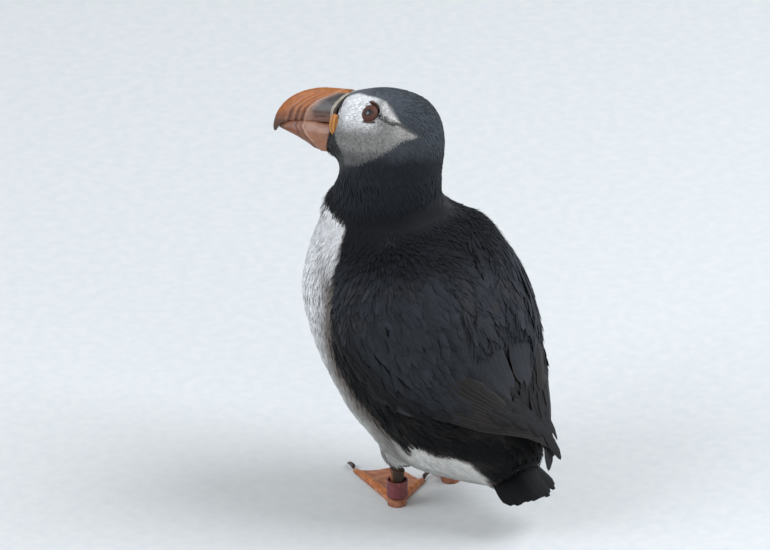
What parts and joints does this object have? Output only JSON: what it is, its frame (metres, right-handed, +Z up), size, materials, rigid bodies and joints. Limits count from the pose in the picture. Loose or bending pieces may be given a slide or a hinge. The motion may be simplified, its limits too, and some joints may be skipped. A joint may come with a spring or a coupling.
{
  "type": "atlantic puffin",
  "caption": "Standing Atlantic puffin, life size, head turned to its left and bill closed, wings folded and crossing over the tail, webbed feet flat, plain ring on the left shank.",
  "frame": {"origin": "middle of the bounding box, at floor level under the feet", "axes": "+Z up, the bird's body faces -Y and its left side is +X"},
  "size_m": [0.1222, 0.1716, 0.2115],
  "materials": {
    "black_feathers": "matt blue-black contour feathers with paler brown edges",
    "white_feathers": "soft white body feathers, black over the back and flanks",
    "face_feathers": "very short grey-white face feathers under a slate cap",
    "bill_horn": "grooved horn plates, slate at the base and dull orange in front",
    "lower_bill_horn": "grooved horn, brown pink",
    "ridge_horn": "pale swollen rim",
    "gape_skin": "soft wrinkled orange skin",
    "eye": "wet, dark brown",
    "foot_skin": "orange skin with small scales, paler webs",
    "shank_skin": "scaled, dark olive brown",
    "claw_horn": "dark horn",
    "ring_plastic": "dull maroon plastic, worn"
  },
  "bodies": {
    "root": {"neck": "black_feathers", "wing_left": "black_feathers", "wing_right": "black_feathers", "tail": "black_feathers", "trunk": "white_feathers", "thigh_left": "white_feathers", "thigh_right": "white_feathers", "head": "face_feathers", "bill_upper": "bill_horn", "bill_lower": "lower_bill_horn", "bill_ridge": "ridge_horn", "gape_left": "gape_skin", "gape_right": "gape_skin", "eye_left": "eye", "eye_right": "eye", "foot_left": "foot_skin", "foot_right": "foot_skin", "leg_left": "shank_skin", "leg_right": "shank_skin", "claw_left_outer": "claw_horn", "claw_left_middle": "claw_horn", "claw_left_inner": "claw_horn", "claw_right_outer": "claw_horn", "claw_right_middle": "claw_horn", "claw_right_inner": "claw_horn", "leg_ring": "ring_plastic"}
  },
  "joints": []
}
